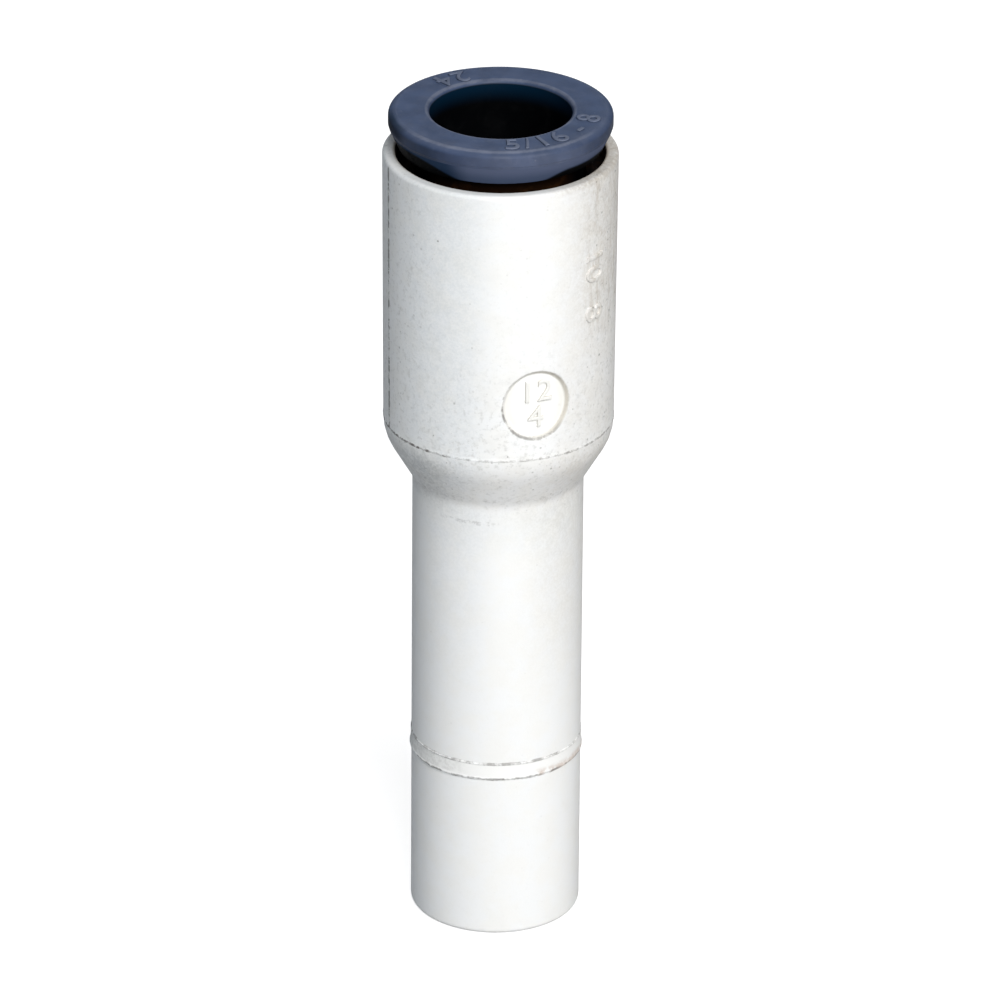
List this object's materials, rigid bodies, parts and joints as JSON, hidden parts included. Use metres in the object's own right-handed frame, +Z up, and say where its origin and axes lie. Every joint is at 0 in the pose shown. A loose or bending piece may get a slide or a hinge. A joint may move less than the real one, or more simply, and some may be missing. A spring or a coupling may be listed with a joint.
{
  "type": "stem reducer",
  "caption": "White plastic plug-in stem reducer: a plain stem below a rounded shoulder, and a wider barrel with a blue-grey release ring that takes a smaller tube.",
  "frame": {"origin": "middle of the stem's end face, on the surface that the fitting stands on", "axes": "+Z runs up the fitting's axis from the stem to the tube port, and -Y faces the picture's camera"},
  "size_m": [0.0136, 0.0136, 0.0511],
  "materials": {
    "white_body": "satin moulded",
    "blue_grey_ring": "satin moulded",
    "black_retainer": "matt",
    "grip_steel": "stamped stainless",
    "natural_spacer": "matt",
    "black_seal": "smooth moulded rubber"
  },
  "bodies": {
    "fitting": {"body": "white_body", "retaining_ring": "black_retainer", "grip_ring": "grip_steel", "spacer_ring": "natural_spacer", "seal_ring": "black_seal"},
    "release": {"release_ring": "blue_grey_ring"}
  },
  "joints": [
    {"name": "release_press", "type": "slide", "parent": "fitting", "child": "release", "axis": [0, 0, -1], "range_m": [0, 0.00085], "stiffness_N_per_m": 1000, "deforming": ["grip_ring"]}
  ]
}
